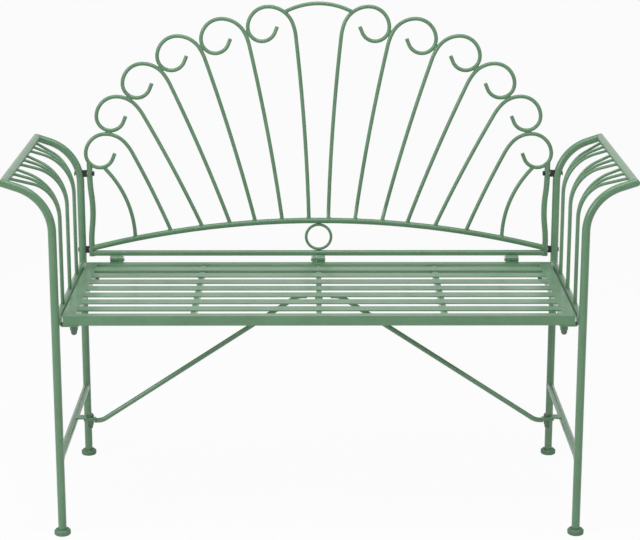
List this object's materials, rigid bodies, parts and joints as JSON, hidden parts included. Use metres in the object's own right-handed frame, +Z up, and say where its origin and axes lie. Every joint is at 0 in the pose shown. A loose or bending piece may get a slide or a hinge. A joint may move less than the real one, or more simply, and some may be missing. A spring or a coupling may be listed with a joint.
{
  "type": "garden bench",
  "caption": "Slatted metal garden bench with open side frames and a scrollwork back that folds forward on hinges.",
  "frame": {"origin": "on the floor, under the middle of the bench", "axes": "+X to the sitter's left along the bench (right in a front view), -Y towards the front of the bench, +Z up"},
  "size_m": [1.2002, 0.492, 0.988],
  "materials": {
    "green_paint": "semi-gloss sage green paint on steel tube, rod and strip",
    "dark_green_paint": "semi-gloss darker sage green paint on bolts and dome nuts",
    "foot_plastic": "matt sage green plastic",
    "plain_steel": "plain zinc-plated steel",
    "black_plastic": "matt black plastic"
  },
  "bodies": {
    "base": {"front_leg_left": "green_paint", "front_leg_right": "green_paint", "rear_leg_left": "green_paint", "rear_leg_right": "green_paint", "arm_bar_left": "green_paint", "arm_bar_right": "green_paint", "side_rail_left": "green_paint", "side_rail_right": "green_paint", "stretcher_left": "green_paint", "stretcher_right": "green_paint", "arm_rods_left": "green_paint", "arm_rods_right": "green_paint", "foot_caps": "foot_plastic", "seat_brackets": "green_paint", "brace_tabs": "green_paint", "seat_front_rail": "green_paint", "seat_rear_rail": "green_paint", "seat_end_rail_left": "green_paint", "seat_end_rail_right": "green_paint", "seat_slat_1": "green_paint", "seat_slat_2": "green_paint", "seat_slat_3": "green_paint", "seat_slat_4": "green_paint", "seat_slat_5": "green_paint", "seat_slat_6": "green_paint", "seat_slat_7": "green_paint", "cross_bar_left": "green_paint", "cross_bar_middle": "green_paint", "cross_bar_right": "green_paint", "seat_studs": "plain_steel", "dome_nuts": "dark_green_paint", "brace_rod": "green_paint", "brace_bolts": "dark_green_paint", "seat_knuckles": "green_paint", "hinge_pins": "plain_steel", "back_bolts": "green_paint", "back_spacers": "black_plastic"},
    "backrest": {"back_knuckles": "green_paint", "back_lower_rail": "green_paint", "back_arch_rail": "green_paint", "back_post_left": "green_paint", "back_post_right": "green_paint", "scroll_rod_left_1": "green_paint", "scroll_rod_left_2": "green_paint", "scroll_rod_left_3": "green_paint", "scroll_rod_left_4": "green_paint", "scroll_rod_left_5": "green_paint", "scroll_rod_left_6": "green_paint", "scroll_rod_right_1": "green_paint", "scroll_rod_right_2": "green_paint", "scroll_rod_right_3": "green_paint", "scroll_rod_right_4": "green_paint", "scroll_rod_right_5": "green_paint", "scroll_rod_right_6": "green_paint", "side_rod_left": "green_paint", "side_rod_right": "green_paint", "crown_rod": "green_paint", "back_ring": "green_paint", "post_inserts": "plain_steel", "post_caps": "black_plastic"}
  },
  "joints": [
    {"name": "back_fold", "type": "hinge", "parent": "base", "child": "backrest", "pos_m": [0, 0.1938, 0.449], "axis": [1, 0, 0], "range_deg": [0, 88]}
  ]
}
